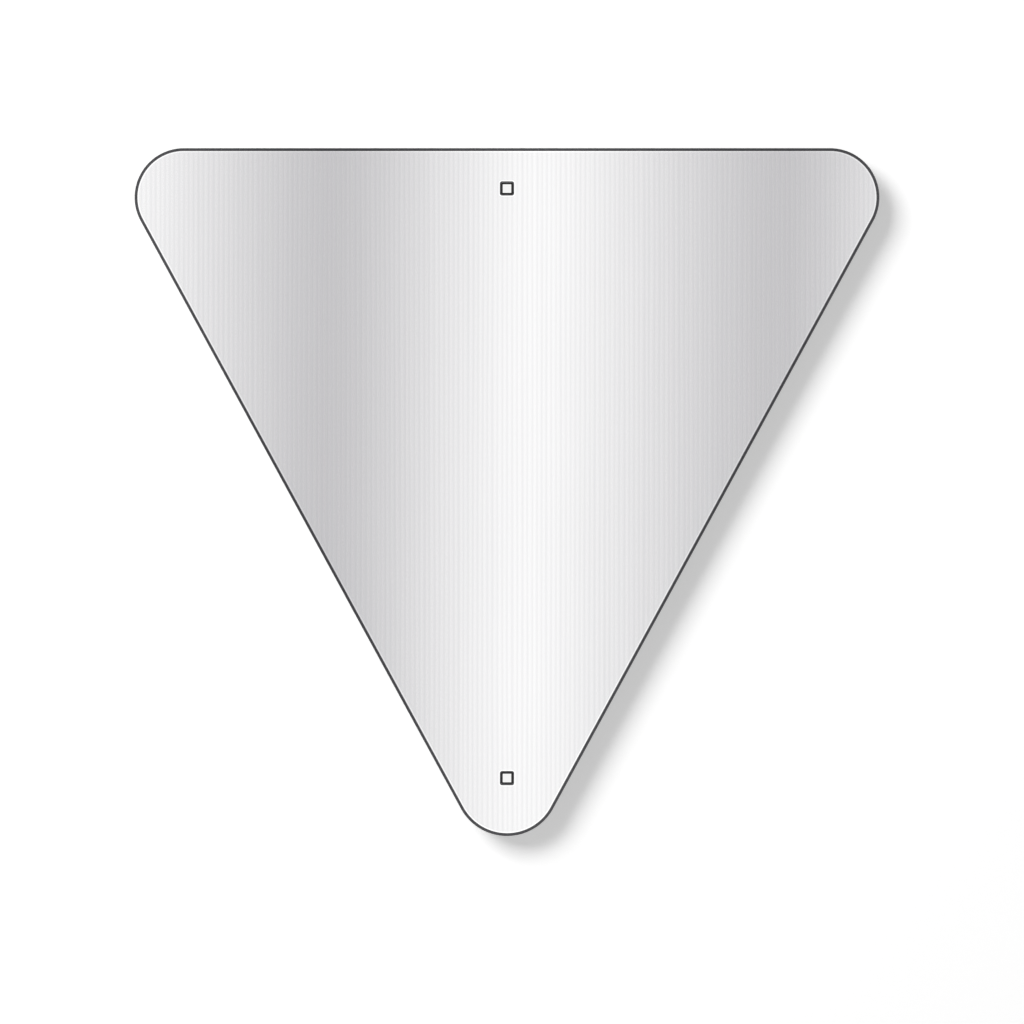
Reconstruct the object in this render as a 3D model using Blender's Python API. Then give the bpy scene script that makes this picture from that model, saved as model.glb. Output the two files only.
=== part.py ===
"""Triangular traffic sign blank: one flat aluminium sheet with rounded corners and two square bolt holes.

Metres, +Z up. The blank stands as it hangs in use, with its point down and its front looking along -Y.
The origin is on the back face, on the upright centreline, midway between the two bolt holes.
"""

import math

import bmesh
import bpy

# Driving dimensions of the blank, in metres.
WIDTH = 0.6096  # 24 in, across the two upper corners
HEIGHT = 0.5630  # from the top edge to the tip of the bottom corner
TOP_CORNER_RADIUS = 0.0403
BOTTOM_CORNER_RADIUS = 0.0430
THICKNESS = 0.00203  # 0.080 in sheet
HOLE_SIDE = 0.009525  # 3/8 in square, for the neck of a carriage bolt
HOLE_CORNER_RADIUS = 0.0008
HOLE_SPACING = 0.4826  # 19 in, a whole number of steps on a post drilled every inch
TOP_HOLE_DROP = 0.0330  # from the top edge down to the centre of the upper hole
EDGE_BREAK = 0.00015  # the small bevel left by deburring

# How finely the round stretches are divided.
CORNER_STEPS = 28
HOLE_CORNER_STEPS = 4
SHARP_ANGLE = math.radians(40)  # edges that turn more than this are deburred

CUTTER_OVERRUN = 0.005  # how far a punch goes past each face

# Bare mill-finish aluminium.
ALUMINIUM_COLOUR = (0.74, 0.74, 0.75, 1.0)
ALUMINIUM_ROUGHNESS = 0.36

TOP_EDGE = HOLE_SPACING / 2 + TOP_HOLE_DROP
BOTTOM_TIP = TOP_EDGE - HEIGHT


def clear_scene():
    """Remove every object that the file opened with."""
    for obj in list(bpy.data.objects):
        bpy.data.objects.remove(obj)


def arc(centre, radius, start, end, steps):
    """Points (x, z) on a round corner, anticlockwise from the start angle to the end angle."""
    points = []
    for step in range(steps + 1):
        angle = start + (end - start) * step / steps
        points.append((centre[0] + radius * math.cos(angle), centre[1] + radius * math.sin(angle)))
    return points


def side_lean():
    """Angle from upright of the straight side that touches an upper corner and the bottom corner."""
    across = WIDTH / 2 - TOP_CORNER_RADIUS
    down = HEIGHT - TOP_CORNER_RADIUS - BOTTOM_CORNER_RADIUS
    radius_step = BOTTOM_CORNER_RADIUS - TOP_CORNER_RADIUS
    return math.atan2(across, down) - math.asin(radius_step / math.hypot(across, down))


def blank_outline():
    """The rounded triangle, anticlockwise as the front is looked at, from the upper right corner."""
    lean = side_lean()
    corner_x = WIDTH / 2 - TOP_CORNER_RADIUS
    corner_z = TOP_EDGE - TOP_CORNER_RADIUS
    tip_z = BOTTOM_TIP + BOTTOM_CORNER_RADIUS
    upper_right = arc((corner_x, corner_z), TOP_CORNER_RADIUS, -lean, math.pi / 2, CORNER_STEPS)
    upper_left = arc((-corner_x, corner_z), TOP_CORNER_RADIUS, math.pi / 2, math.pi + lean, CORNER_STEPS)
    bottom = arc((0.0, tip_z), BOTTOM_CORNER_RADIUS, math.pi + lean, 2 * math.pi - lean, CORNER_STEPS)
    return upper_right + upper_left + bottom


def hole_outline(centre_z):
    """A square hole with small round corners, centred on the upright centreline."""
    reach = HOLE_SIDE / 2 - HOLE_CORNER_RADIUS
    points = []
    for quarter, (side_x, side_z) in enumerate([(1, 1), (-1, 1), (-1, -1), (1, -1)]):
        start = quarter * math.pi / 2
        centre = (side_x * reach, centre_z + side_z * reach)
        points += arc(centre, HOLE_CORNER_RADIUS, start, start + math.pi / 2, HOLE_CORNER_STEPS)
    return points


def prism(name, outline, front_y, back_y):
    """A closed object with the outline at front_y, extruded to back_y."""
    bm = bmesh.new()
    front = bm.faces.new([bm.verts.new((x, front_y, z)) for x, z in outline])
    extruded = bmesh.ops.extrude_face_region(bm, geom=[front], use_keep_orig=True)
    moved = [item for item in extruded["geom"] if isinstance(item, bmesh.types.BMVert)]
    bmesh.ops.translate(bm, verts=moved, vec=(0.0, back_y - front_y, 0.0))
    bmesh.ops.recalc_face_normals(bm, faces=bm.faces)
    mesh = bpy.data.meshes.new(name)
    bm.to_mesh(mesh)
    bm.free()
    obj = bpy.data.objects.new(name, mesh)
    bpy.context.collection.objects.link(obj)
    return obj


def punch_hole(plate, name, centre_z):
    """Cut one square bolt hole through the plate."""
    front_y = -THICKNESS - CUTTER_OVERRUN
    cutter = prism(name, hole_outline(centre_z), front_y, CUTTER_OVERRUN)
    cutter.hide_render = True
    cutter.display_type = "WIRE"
    cut = plate.modifiers.new(name, "BOOLEAN")
    cut.operation = "DIFFERENCE"
    cut.solver = "EXACT"
    cut.object = cutter


def deburr(plate):
    """Break the sharp edges of the outline and the holes, front and back."""
    bevel = plate.modifiers.new("deburr", "BEVEL")
    bevel.width = EDGE_BREAK
    bevel.segments = 1
    bevel.limit_method = "ANGLE"
    bevel.angle_limit = SHARP_ANGLE


def aluminium():
    """Bare sheet aluminium, as it leaves the mill."""
    material = bpy.data.materials.new("aluminium_sheet")
    material.use_nodes = True
    shader = material.node_tree.nodes["Principled BSDF"]
    shader.inputs["Base Color"].default_value = ALUMINIUM_COLOUR
    shader.inputs["Metallic"].default_value = 1.0
    shader.inputs["Roughness"].default_value = ALUMINIUM_ROUGHNESS
    return material


def build_sign_blank():
    """The punched, deburred blank."""
    plate = prism("sign_blank", blank_outline(), -THICKNESS, 0.0)
    punch_hole(plate, "upper_hole_punch", HOLE_SPACING / 2)
    punch_hole(plate, "lower_hole_punch", -HOLE_SPACING / 2)
    deburr(plate)
    plate.data.materials.append(aluminium())


clear_scene()
build_sign_blank()
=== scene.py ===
"""Looks of the triangular sign blank: a brushed aluminium sheet in front of a white wall.

Metres, +Z up, front along -Y, as in the CAD. The sheet is built again here with the rolled and sheared
edge that punching leaves, and stands in for the CAD node inside the same outline.
"""

import math

import bmesh
import bpy
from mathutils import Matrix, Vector


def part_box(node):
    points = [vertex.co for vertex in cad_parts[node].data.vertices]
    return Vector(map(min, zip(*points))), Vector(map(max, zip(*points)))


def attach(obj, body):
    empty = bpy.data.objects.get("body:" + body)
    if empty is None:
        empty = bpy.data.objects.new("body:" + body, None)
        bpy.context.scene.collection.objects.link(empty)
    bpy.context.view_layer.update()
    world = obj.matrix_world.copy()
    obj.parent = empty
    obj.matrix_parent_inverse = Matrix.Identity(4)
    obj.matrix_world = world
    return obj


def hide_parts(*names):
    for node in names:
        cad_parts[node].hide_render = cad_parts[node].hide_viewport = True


NODE = "sign_blank"

# The dimensions that the sheet's box does not give, as in the CAD.
TOP_CORNER_RADIUS = 0.0403
BOTTOM_CORNER_RADIUS = 0.0430
HOLE_SIDE = 0.009525
HOLE_CORNER_RADIUS = 0.0008
HOLE_SPACING = 0.4826

CORNER_STEPS = 72
HOLE_CORNER_STEPS = 10
SHARP_ANGLE = math.radians(35)

# The edge that the punch and the shear leave, with a rim painted dark as edge shade and a painted
# highlight line inside it.
ROLL_STEPS = 6
ROLL_DEPTH = 0.00045  # how far the front edge is drawn down
OUTLINE_ROLL = 0.0009  # how wide the rolled edge is, round the outline
OUTLINE_RIM = 0.0024  # how far in from the cut the rim painted dark as edge shade reaches
OUTLINE_HIGHLIGHT = 0.0034  # how far in the painted highlight line inside the rim reaches
HOLE_ROLL = 0.0003  # the same three round the holes
HOLE_RIM = 0.0011
HOLE_HIGHLIGHT = 0.0019
BACK_BREAK = 0.00015  # deburred back edge
SHEAR_LINE = 0.45  # how far through the side wall a ring of points divides it

# Framing.
LENS = 200.0
SENSOR = 36.0
FILL = 0.7274  # share of the picture's width that the sheet takes
AIM_RIGHT = 0.0041  # the camera's axis passes this far right of the sheet's middle
AIM_DOWN = 0.0163  # and this far below it

# The wall and the floor.
WALL_GAP = 0.022  # between the sheet's back and the wall
WALL_HALF_WIDTH = 0.90
WALL_RISE = 0.62  # how far the wall reaches above the sheet's middle
FLOOR_DROP = 0.62  # the floor lies this far below the sheet's middle
FLOOR_REACH = 6.0
FLOOR_BELOW_WALL = 0.0005  # keeps the floor clear of the wall's foot
WALL_GLOW = 0.50  # the wall's own light, which is all that reaches the middle of the shadow
WALL_ALBEDO = 0.90
FLOOR_GLOW = 0.86  # the floor's own light, so that it stays pale far from the lamp
FLOOR_ALBEDO = 0.12

# Cards behind the bolt holes.
PATCH_HALF = 0.0035  # half the side of the bright patch seen through a bolt hole
PATCH_GAP = 0.002  # between the patch and the wall
PATCH_BRIGHTNESS = 0.92
SHADE_HALF = 0.0120  # half the side of the shade round the patch
SHADE_GAP = 0.001  # between the shade and the wall
SHADE_BRIGHTNESS = 0.02

# Screens of graded light. A band is (distance across from the sheet's middle, colour), and a lean is
# how far the bands move towards -X for each metre up.
SCREEN_HALF_WIDTH = 0.50
SCREEN_HALF_HEIGHT = 0.80
WHITE = (1.0, 1.0, 1.0)
OFF_WHITE = (0.965, 0.965, 0.965)
GREY = (0.462, 0.457, 0.472)
FRONT_BANDS = [(-0.365, WHITE), (-0.151, GREY), (0.014, OFF_WHITE), (0.231, GREY), (0.39, WHITE)]
FRONT_SCREEN_DISTANCE = 0.14
FRONT_SCREEN_STRENGTH = 1.27
FRONT_SCREEN_LEAN = -0.022
BACK_BANDS = [(-0.45, WHITE), (-0.18, GREY), (0.10, WHITE), (0.33, GREY), (0.49, WHITE)]
BACK_SCREEN_DISTANCE = 0.20
BACK_SCREEN_STRENGTH = 1.0
BACK_SCREEN_LEAN = 0.10

# The lamp and the room.
KEY_DIRECTION = (-0.54, -0.71, 0.48)  # from the sheet: upper left, in front
KEY_DISTANCE = 7.0
KEY_SIZE = 3.5
KEY_POWER = 408.0
ROOM_LIGHTING = 0.06  # how strongly the room lights matt surfaces
ROOM_MIRRORED = 0.78  # how bright the metal shows it
ROOM_SEEN = 1.0  # how bright it looks by itself

# The brush lines: a regular line, coarse streaks and fine streaks, mixed in these shares. The streaks are
# noise in long narrow cells.
LINE_SHARE = 0.42
COARSE_SHARE = 0.36
FINE_SHARE = 0.22
LINE_SHARPNESS = 0.6  # under 1 makes the dark lines narrower than the bright ones
LINE_WANDER = 9.0  # how far the lines drift sideways, in radians of a line's cycle
DRIFT_CELLS = (25.0, 1.2)  # per metre across and along the grain
CLOUD_CELLS = (7.0, 4.0)  # the same
COARSE_CELLS = (0.9, 2.0)  # per line across the grain, and per metre along it
FINE_CELLS = (6.0, 9.0)  # the same
CLOUD_SHARE = 0.25  # share of the tone that comes from broad clouds
GRAIN_TONES = (0.25, 0.75)  # the tones that come out fully dark and fully light
ROUGHNESS_SWING = 0.04  # how far the roughness moves either way

# The marks on cut and rolled metal.
MARK_TONES = (0.3, 0.7)
MARK_SWING = 0.08
MARK_BUMP = 0.6
MARK_RELIEF = 0.00004


def material(name):
    """A new node material, its tree, and its Principled shader."""
    made = bpy.data.materials.new(name)
    made.use_nodes = True
    tree = made.node_tree
    return made, tree, tree.nodes["Principled BSDF"]


def add(tree, kind, **settings):
    """A node of that kind with those properties."""
    node = tree.nodes.new(kind)
    for name, value in settings.items():
        setattr(node, name, value)
    return node


# ---------------------------------------------------------------- the sheet


def arc(centre, radius, start, end, steps):
    """Points (x, z) on a round corner, anticlockwise."""
    angles = [start + (end - start) * step / steps for step in range(steps + 1)]
    return [(centre[0] + radius * math.cos(a), centre[1] + radius * math.sin(a)) for a in angles]


def outline_ring(low, high, inset):
    """The rounded triangle, moved inwards by inset."""
    middle = (low.x + high.x) / 2
    across = (high.x - low.x) / 2 - TOP_CORNER_RADIUS
    top_z = high.z - TOP_CORNER_RADIUS
    tip_z = low.z + BOTTOM_CORNER_RADIUS
    radius_step = BOTTOM_CORNER_RADIUS - TOP_CORNER_RADIUS
    reach = math.hypot(across, top_z - tip_z)
    lean = math.atan2(across, top_z - tip_z) - math.asin(radius_step / reach)
    top_radius = TOP_CORNER_RADIUS - inset
    tip_radius = BOTTOM_CORNER_RADIUS - inset
    right = arc((middle + across, top_z), top_radius, -lean, math.pi / 2, CORNER_STEPS)
    left = arc((middle - across, top_z), top_radius, math.pi / 2, math.pi + lean, CORNER_STEPS)
    tip = arc((middle, tip_z), tip_radius, math.pi + lean, 2 * math.pi - lean, CORNER_STEPS)
    return right + left + tip


def hole_ring(centre_z, outset):
    """A square hole with round corners, moved outwards by outset."""
    reach = HOLE_SIDE / 2 - HOLE_CORNER_RADIUS
    points = []
    for quarter, (side_x, side_z) in enumerate([(1, 1), (-1, 1), (-1, -1), (1, -1)]):
        start = quarter * math.pi / 2
        centre = (side_x * reach, centre_z + side_z * reach)
        radius = HOLE_CORNER_RADIUS + outset
        points += arc(centre, radius, start, start + math.pi / 2, HOLE_CORNER_STEPS)
    return points


def edge_profile(front, back, roll, rim, highlight_reach):
    """(distance in from the cut, y, material of the strip that ends here), from the front to the back."""
    # The strip just inside the rim is a painted highlight; the rim strip and the rolled edge are painted
    # dark as edge shade.
    profile = [(highlight_reach, front, None), (rim, front, "painted_highlight"), (roll, front, "rim")]
    for step in range(1, ROLL_STEPS + 1):
        turn = math.pi / 2 * step / ROLL_STEPS
        inwards = roll * (1 - math.sin(turn))
        down = ROLL_DEPTH * (1 - math.cos(turn))
        profile.append((inwards, front + down, "rim"))
    wall_start = front + ROLL_DEPTH
    wall_end = back - BACK_BREAK
    profile.append((0.0, wall_start + (wall_end - wall_start) * SHEAR_LINE, "sheared"))
    profile.append((0.0, wall_end, "sheared"))
    profile.append((BACK_BREAK, back, "sheared"))
    return profile


def strips(bm, ring_at, profile, indices):
    """Strips of faces that follow the profile round a ring. Returns the front and back edge loops."""
    rows = []
    for distance, y, _ in profile:
        rows.append([bm.verts.new((x, y, z)) for x, z in ring_at(distance)])
    count = len(rows[0])
    for row in range(1, len(rows)):
        for i in range(count):
            j = (i + 1) % count
            face = bm.faces.new((rows[row - 1][i], rows[row - 1][j], rows[row][j], rows[row][i]))
            face.material_index = indices[profile[row][2]]
            face.smooth = True
    loops = []
    for row in (rows[0], rows[-1]):
        loops.append([bm.edges.get((row[i], row[(i + 1) % count])) for i in range(count)])
    return loops


def fill(bm, loops, index):
    """Fill the flat face between the outline and the holes with triangles."""
    filled = bmesh.ops.triangle_fill(bm, edges=[e for loop in loops for e in loop], use_beauty=True)
    for item in filled["geom"]:
        if isinstance(item, bmesh.types.BMFace):
            item.material_index = index
            item.smooth = True


def build_sheet(low, high, materials):
    """The sheet as one closed mesh, with a planar UV map whose U runs across the grain."""
    names = list(materials)
    indices = {name: i for i, name in enumerate(names)}
    front, back = low.y, high.y
    bm = bmesh.new()
    outline = edge_profile(front, back, OUTLINE_ROLL, OUTLINE_RIM, OUTLINE_HIGHLIGHT)
    hole = edge_profile(front, back, HOLE_ROLL, HOLE_RIM, HOLE_HIGHLIGHT)
    loops = [strips(bm, lambda d: outline_ring(low, high, d), outline, indices)]
    for centre_z in (HOLE_SPACING / 2, -HOLE_SPACING / 2):
        loops.append(strips(bm, lambda d, z=centre_z: hole_ring(z, d), hole, indices))
    fill(bm, [pair[0] for pair in loops], indices["brushed"])
    fill(bm, [pair[1] for pair in loops], indices["mill"])
    bmesh.ops.recalc_face_normals(bm, faces=bm.faces)
    uv = bm.loops.layers.uv.new("grain")
    for face in bm.faces:
        for loop in face.loops:
            loop[uv].uv = (loop.vert.co.x, loop.vert.co.z)
    mesh = bpy.data.meshes.new("brushed_sheet")
    bm.to_mesh(mesh)
    bm.free()
    for name in names:
        mesh.materials.append(materials[name])
    mesh.set_sharp_from_angle(angle=SHARP_ANGLE)
    sheet = bpy.data.objects.new("brushed_sheet", mesh)
    bpy.context.collection.objects.link(sheet)
    weigh = sheet.modifiers.new("flat_faces_stay_flat", "WEIGHTED_NORMAL")
    weigh.keep_sharp = True
    return sheet


# ---------------------------------------------------------------- its metal


def stretched(tree, across, along):
    """Object coordinates times that many cells per metre across and along the grain."""
    place = add(tree, "ShaderNodeTexCoord")
    scale = add(tree, "ShaderNodeVectorMath", operation="MULTIPLY")
    scale.inputs[1].default_value = (across, across, along)
    tree.links.new(place.outputs["Object"], scale.inputs[0])
    return scale.outputs["Vector"]


def noise(tree, across, along, detail=2.0, roughness=0.5, seed=0.0):
    """Noise in streaks along the grain, 0 to 1."""
    node = add(tree, "ShaderNodeTexNoise", noise_dimensions="4D")
    node.inputs["W"].default_value = seed
    node.inputs["Scale"].default_value = 1.0
    node.inputs["Detail"].default_value = detail
    node.inputs["Roughness"].default_value = roughness
    tree.links.new(stretched(tree, across, along), node.inputs["Vector"])
    return node.outputs["Fac"]


def maths(tree, operation, a, b=None, c=None):
    """A Math node on sockets or plain numbers."""
    node = add(tree, "ShaderNodeMath", operation=operation)
    for socket, value in zip(node.inputs, (a, b, c)):
        if value is None:
            continue
        if isinstance(value, (int, float)):
            socket.default_value = value
        else:
            tree.links.new(value, socket)
    return node.outputs[0]


def spread(tree, value, low, high):
    """A 0 to 1 value carried to between low and high."""
    node = add(tree, "ShaderNodeMapRange")
    node.inputs["To Min"].default_value = low
    node.inputs["To Max"].default_value = high
    tree.links.new(value, node.inputs["Value"])
    return node.outputs["Result"]


def grain_height(tree, pitch, seed):
    """The upright brush lines: a wandering line every pitch metres, and finer streaks between. 0 to 1."""
    drift = noise(tree, *DRIFT_CELLS, detail=3.0, roughness=0.6, seed=seed)
    wander = maths(tree, "MULTIPLY", drift, LINE_WANDER)
    place = add(tree, "ShaderNodeTexCoord")
    split = add(tree, "ShaderNodeSeparateXYZ")
    tree.links.new(place.outputs["Object"], split.inputs[0])
    turns = maths(tree, "MULTIPLY_ADD", split.outputs["X"], 2 * math.pi / pitch, wander)
    wave = maths(tree, "MULTIPLY_ADD", maths(tree, "SINE", turns), 0.5, 0.5)
    lines = maths(tree, "POWER", wave, LINE_SHARPNESS)
    coarse = noise(tree, COARSE_CELLS[0] / pitch, COARSE_CELLS[1], detail=1.0, seed=seed + 1)
    fine = noise(tree, FINE_CELLS[0] / pitch, FINE_CELLS[1], roughness=0.6, seed=seed + 2)
    mix = maths(tree, "MULTIPLY", coarse, COARSE_SHARE)
    mix = maths(tree, "MULTIPLY_ADD", lines, LINE_SHARE, mix)
    return maths(tree, "MULTIPLY_ADD", fine, FINE_SHARE, mix)


def two_tones(tree, value, dark, light, start, end):
    """From dark at value start to light at value end."""
    ramp = add(tree, "ShaderNodeValToRGB")
    for element, position, colour in zip(ramp.color_ramp.elements, (start, end), (dark, light)):
        element.position = position
        element.color = (*colour, 1.0)
    tree.links.new(value, ramp.inputs["Fac"])
    return ramp.outputs["Color"]


def raised(tree, height, strength, relief):
    """The normal of a surface with that relief in metres."""
    bump = add(tree, "ShaderNodeBump")
    bump.inputs["Strength"].default_value = strength
    bump.inputs["Distance"].default_value = relief
    tree.links.new(height, bump.inputs["Height"])
    return bump.outputs["Normal"]


def brushed_metal(name, light, dark, roughness, anisotropic, pitch, relief, seed):
    """Aluminium with an upright grain, light on the brush lines and dark between them."""
    made, tree, shader = material(name)
    height = grain_height(tree, pitch, seed)
    clouds = noise(tree, *CLOUD_CELLS, detail=3.0, roughness=0.55, seed=seed + 3)
    lines = maths(tree, "MULTIPLY", height, 1 - CLOUD_SHARE)
    tone = maths(tree, "MULTIPLY_ADD", clouds, CLOUD_SHARE, lines)
    colour = two_tones(tree, tone, dark, light, *GRAIN_TONES)
    tree.links.new(colour, shader.inputs["Base Color"])
    shine = spread(tree, tone, roughness + ROUGHNESS_SWING, roughness - ROUGHNESS_SWING)
    tree.links.new(shine, shader.inputs["Roughness"])
    tree.links.new(raised(tree, height, 1.0, relief), shader.inputs["Normal"])
    tangent = add(tree, "ShaderNodeTangent", direction_type="UV_MAP", uv_map="grain")
    tree.links.new(tangent.outputs["Tangent"], shader.inputs["Tangent"])
    shader.inputs["Metallic"].default_value = 1.0
    shader.inputs["Anisotropic"].default_value = anisotropic
    return made


def cut_metal(name, light, dark, roughness, across, through, seed):
    """Metal with so many fine marks per metre across and through the sheet, as on a sheared or rolled-over
    edge. It also makes the rim painted dark as edge shade.
    """
    made, tree, shader = material(name)
    place = add(tree, "ShaderNodeTexCoord")
    scale = add(tree, "ShaderNodeVectorMath", operation="MULTIPLY")
    scale.inputs[1].default_value = (across, through, across)
    tree.links.new(place.outputs["Object"], scale.inputs[0])
    marks = add(tree, "ShaderNodeTexNoise", noise_dimensions="4D")
    marks.inputs["W"].default_value = seed
    marks.inputs["Scale"].default_value = 1.0
    marks.inputs["Detail"].default_value = 4.0
    tree.links.new(scale.outputs["Vector"], marks.inputs["Vector"])
    value = marks.outputs["Fac"]
    tree.links.new(two_tones(tree, value, dark, light, *MARK_TONES), shader.inputs["Base Color"])
    shine = spread(tree, value, roughness + MARK_SWING, roughness - MARK_SWING)
    tree.links.new(shine, shader.inputs["Roughness"])
    tree.links.new(raised(tree, value, MARK_BUMP, MARK_RELIEF), shader.inputs["Normal"])
    shader.inputs["Metallic"].default_value = 1.0
    return made


def sheet_materials():
    """The five materials on the one sheet: three finishes of the metal, a painted highlight line and a rim
    painted dark as edge shade. The highlight line carries on the grain of the face.
    """
    return {
        "brushed": brushed_metal(
            "brushed_face",
            light=(0.85, 0.85, 0.85),
            dark=(0.76, 0.76, 0.765),
            roughness=0.28,
            anisotropic=0.55,
            pitch=0.0040,
            relief=0.000006,
            seed=1.0,
        ),
        "mill": brushed_metal(
            "mill_back",
            light=(0.80, 0.80, 0.805),
            dark=(0.66, 0.66, 0.67),
            roughness=0.38,
            anisotropic=0.35,
            pitch=0.0026,
            relief=0.000006,
            seed=11.0,
        ),
        # A painted highlight: a line lighter than the face, standing in for light caught just inside the
        # edge.
        "painted_highlight": brushed_metal(
            "painted_highlight_line",
            light=(0.99, 0.99, 0.99),
            dark=(0.95, 0.95, 0.95),
            roughness=0.24,
            anisotropic=0.2,
            pitch=0.0040,
            relief=0.000003,
            seed=1.0,
        ),
        # Painted shade: the rim and the rolled edge made nearly black, standing in for the dark line along
        # the edge.
        "rim": cut_metal(
            "painted_shade_rim",
            light=(0.105, 0.105, 0.11),
            dark=(0.062, 0.062, 0.066),
            roughness=0.50,
            across=900.0,
            through=900.0,
            seed=21.0,
        ),
        "sheared": cut_metal(
            "sheared_edge",
            light=(0.60, 0.60, 0.61),
            dark=(0.34, 0.34, 0.35),
            roughness=0.45,
            across=2600.0,
            through=160.0,
            seed=31.0,
        ),
    }


# ---------------------------------------------------------------- the stage


def seen_or_lighting(tree, seen, lighting):
    """One strength where the camera or the metal sees it, and another where it lights matt surfaces."""
    path = add(tree, "ShaderNodeLightPath")
    lights = maths(tree, "GREATER_THAN", path.outputs["Diffuse Depth"], 0.5)
    return spread(tree, lights, seen, lighting)


def clear_from_behind(tree, shader_socket):
    """Show that shader on the front of a plane, and nothing on its back."""
    side = add(tree, "ShaderNodeNewGeometry")
    clear = add(tree, "ShaderNodeBsdfTransparent")
    mix = add(tree, "ShaderNodeMixShader")
    tree.links.new(side.outputs["Backfacing"], mix.inputs["Fac"])
    tree.links.new(shader_socket, mix.inputs[1])
    tree.links.new(clear.outputs["BSDF"], mix.inputs[2])
    return mix.outputs["Shader"]


def plane(name, corners):
    """A flat four-sided object."""
    mesh = bpy.data.meshes.new(name)
    mesh.from_pydata(corners, [], [tuple(range(len(corners)))])
    made = bpy.data.objects.new(name, mesh)
    bpy.context.collection.objects.link(made)
    return made


def upright_plane(name, left, right, foot, top, y):
    """A plane that faces -Y."""
    return plane(name, [(left, y, foot), (right, y, foot), (right, y, top), (left, y, top)])


def hide_from(thing, rays):
    """Keep an object out of what those rays see."""
    for ray in rays:
        setattr(thing, f"visible_{ray}", False)


def matt_stage(name, albedo, glow):
    """Matt and pale with some light of its own, and clear from behind, so that it hides nothing."""
    made, tree, shader = material(name)
    shader.inputs["Base Color"].default_value = (albedo, albedo, albedo, 1.0)
    shader.inputs["Roughness"].default_value = 1.0
    shader.inputs["Specular IOR Level"].default_value = 0.0
    shader.inputs["Emission Color"].default_value = (*WHITE, 1.0)
    tree.links.new(seen_or_lighting(tree, glow, 0.0), shader.inputs["Emission Strength"])
    surface = clear_from_behind(tree, shader.outputs["BSDF"])
    tree.links.new(surface, tree.nodes["Material Output"].inputs["Surface"])
    return made


def build_wall(back, middle):
    """An upright white panel close behind the sheet, standing on the floor."""
    y = back + WALL_GAP
    left, right = middle.x - WALL_HALF_WIDTH, middle.x + WALL_HALF_WIDTH
    foot, top = middle.z - FLOOR_DROP, middle.z + WALL_RISE
    wall = upright_plane("wall", left, right, foot, top, y)
    wall.data.materials.append(matt_stage("white_wall", WALL_ALBEDO, WALL_GLOW))
    hide_from(wall, ["glossy"])


def build_floor(floor_z):
    """The floor, a hair below the wall's foot."""
    z = floor_z - FLOOR_BELOW_WALL
    reach = FLOOR_REACH
    corners = [(-reach, -reach, z), (reach, -reach, z), (reach, reach, z), (-reach, reach, z)]
    floor = plane("floor", corners)
    floor.data.materials.append(matt_stage("pale_floor", FLOOR_ALBEDO, FLOOR_GLOW))


def glowing(name):
    """A new node material, its tree, its Emission shader and its output."""
    made = bpy.data.materials.new(name)
    made.use_nodes = True
    tree = made.node_tree
    tree.nodes.clear()
    out = add(tree, "ShaderNodeOutputMaterial")
    return made, tree, add(tree, "ShaderNodeEmission"), out.inputs["Surface"]


def card_material(name, brightness):
    """An even tone, whatever the light, that is clear from behind."""
    made, tree, glow, surface = glowing(name)
    glow.inputs["Strength"].default_value = brightness
    tree.links.new(clear_from_behind(tree, glow.outputs["Emission"]), surface)
    return made


def build_card(name, half, y, hole, eye, made):
    """A small square in front of the wall, on the line from the camera through a bolt hole."""
    middle = hole + (hole - eye) * ((y - hole.y) / (hole.y - eye.y))
    x, z = middle.x, middle.z
    card = upright_plane(name, x - half, x + half, z - half, z + half, y)
    card.data.materials.append(made)
    hide_from(card, ["diffuse", "glossy", "transmission", "volume_scatter", "shadow"])


def build_hole_cards(back, hole_zs):
    """Behind each bolt hole, a bright patch where light falls through it, with shade all round."""
    eye = bpy.context.scene.camera.location
    bright = card_material("hole_light", PATCH_BRIGHTNESS)
    dark = card_material("hole_shade", SHADE_BRIGHTNESS)
    wall_y = back + WALL_GAP
    for i, hole_z in enumerate(hole_zs):
        hole = Vector((0.0, back, hole_z))
        build_card(f"hole_shade_{i}", SHADE_HALF, wall_y - SHADE_GAP, hole, eye, dark)
        build_card(f"hole_light_{i}", PATCH_HALF, wall_y - PATCH_GAP, hole, eye, bright)


def screen_material(name, bands, lean, strength):
    """Light that changes across the screen, in bands that lean sideways as they rise."""
    made, tree, glow, surface = glowing(name)
    place = add(tree, "ShaderNodeTexCoord")
    split = add(tree, "ShaderNodeSeparateXYZ")
    tree.links.new(place.outputs["Object"], split.inputs[0])
    leaning = maths(tree, "MULTIPLY_ADD", split.outputs["Z"], lean, split.outputs["X"])
    across = add(tree, "ShaderNodeMapRange")
    across.inputs["From Min"].default_value = -SCREEN_HALF_WIDTH
    across.inputs["From Max"].default_value = SCREEN_HALF_WIDTH
    tree.links.new(leaning, across.inputs["Value"])
    ramp = add(tree, "ShaderNodeValToRGB")
    elements = ramp.color_ramp.elements
    elements.remove(elements[-1])
    for i, (from_middle, colour) in enumerate(bands):
        position = (from_middle + SCREEN_HALF_WIDTH) / (2 * SCREEN_HALF_WIDTH)
        element = elements[0] if i == 0 else elements.new(position)
        element.position = position
        element.color = (*colour, 1.0)
    tree.links.new(across.outputs["Result"], ramp.inputs["Fac"])
    tree.links.new(ramp.outputs["Color"], glow.inputs["Color"])
    tree.links.new(seen_or_lighting(tree, strength, 0.0), glow.inputs["Strength"])
    tree.links.new(glow.outputs["Emission"], surface)
    return made


def build_screen(name, x, y, z, made):
    """A tall upright screen that only the metal sees."""
    half_x, half_z = SCREEN_HALF_WIDTH, SCREEN_HALF_HEIGHT
    screen = upright_plane(name, -half_x, half_x, -half_z, half_z, 0.0)
    screen.location = (x, y, z)
    screen.data.materials.append(made)
    hide_from(screen, ["camera", "diffuse", "transmission", "volume_scatter", "shadow"])


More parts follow.
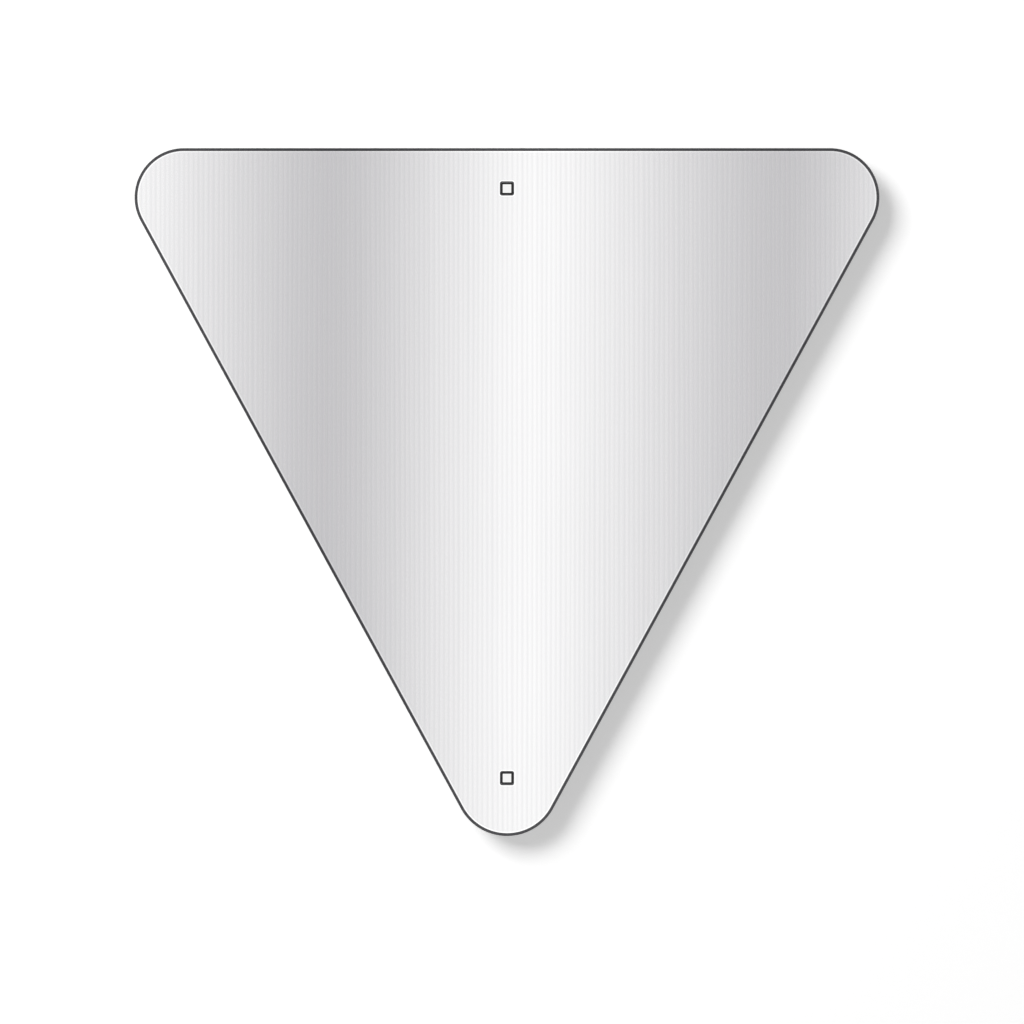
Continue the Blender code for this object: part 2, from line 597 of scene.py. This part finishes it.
def build_screens(low, high):
    """One screen in front of the sheet and one behind it."""
    middle = (low + high) / 2
    front = screen_material("front_screen", FRONT_BANDS, FRONT_SCREEN_LEAN, FRONT_SCREEN_STRENGTH)
    build_screen("front_screen", middle.x, low.y - FRONT_SCREEN_DISTANCE, middle.z, front)
    back = screen_material("back_screen", BACK_BANDS, BACK_SCREEN_LEAN, BACK_SCREEN_STRENGTH)
    build_screen("back_screen", middle.x, high.y + BACK_SCREEN_DISTANCE, middle.z, back)


def area_light(name, aim, towards, distance, size, power):
    """A square soft light at that distance from aim, in the direction towards, facing aim."""
    data = bpy.data.lights.new(name, "AREA")
    data.shape = "SQUARE"
    data.size = size
    data.energy = power
    light = bpy.data.objects.new(name, data)
    bpy.context.collection.objects.link(light)
    direction = Vector(towards).normalized()
    light.location = aim + direction * distance
    light.rotation_mode = "QUATERNION"
    light.rotation_quaternion = direction.to_track_quat("Z", "Y")
    light.visible_camera = False
    return light


def build_lights(centre):
    """A soft key light from the upper left, and a white room."""
    key = area_light("key_light", centre, KEY_DIRECTION, KEY_DISTANCE, KEY_SIZE, KEY_POWER)
    hide_from(key, ["glossy"])
    world = bpy.data.worlds.new("white_room")
    world.use_nodes = True
    tree = world.node_tree
    background = tree.nodes["Background"]
    background.inputs["Color"].default_value = (*WHITE, 1.0)
    path = add(tree, "ShaderNodeLightPath")
    unseen = seen_or_lighting(tree, ROOM_MIRRORED, ROOM_LIGHTING)
    mix = add(tree, "ShaderNodeMix", data_type="FLOAT")
    tree.links.new(path.outputs["Is Camera Ray"], mix.inputs[0])
    tree.links.new(unseen, mix.inputs[2])
    mix.inputs[3].default_value = ROOM_SEEN
    tree.links.new(mix.outputs[0], background.inputs["Strength"])
    bpy.context.scene.world = world


def build_camera(low, high):
    """A long lens straight in front of the sheet."""
    data = bpy.data.cameras.new("camera")
    data.lens = LENS
    data.sensor_width = SENSOR
    camera = bpy.data.objects.new("camera", data)
    bpy.context.collection.objects.link(camera)
    centre = (low + high) / 2
    picture_width = (high.x - low.x) / FILL
    distance = picture_width * LENS / SENSOR
    camera.location = (centre.x + AIM_RIGHT, low.y - distance, centre.z - AIM_DOWN)
    camera.rotation_euler = (math.pi / 2, 0.0, 0.0)
    bpy.context.scene.camera = camera


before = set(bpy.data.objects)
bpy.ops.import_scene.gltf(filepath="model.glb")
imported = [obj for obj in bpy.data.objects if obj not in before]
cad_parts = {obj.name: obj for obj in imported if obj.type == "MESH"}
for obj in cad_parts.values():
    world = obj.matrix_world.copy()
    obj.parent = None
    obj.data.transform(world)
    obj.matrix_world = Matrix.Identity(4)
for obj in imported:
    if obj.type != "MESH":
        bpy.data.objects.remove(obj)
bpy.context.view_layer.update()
low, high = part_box(NODE)
low, high = Vector(low), Vector(high)
centre = (low + high) / 2

build_camera(low, high)
sheet = build_sheet(low, high, sheet_materials())
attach(sheet, "root")
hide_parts(NODE)

build_wall(high.y, centre)
build_floor(centre.z - FLOOR_DROP)
build_hole_cards(high.y, (HOLE_SPACING / 2, -HOLE_SPACING / 2))
build_screens(low, high)
build_lights(centre)
bpy.context.scene.view_settings.view_transform = "Standard"
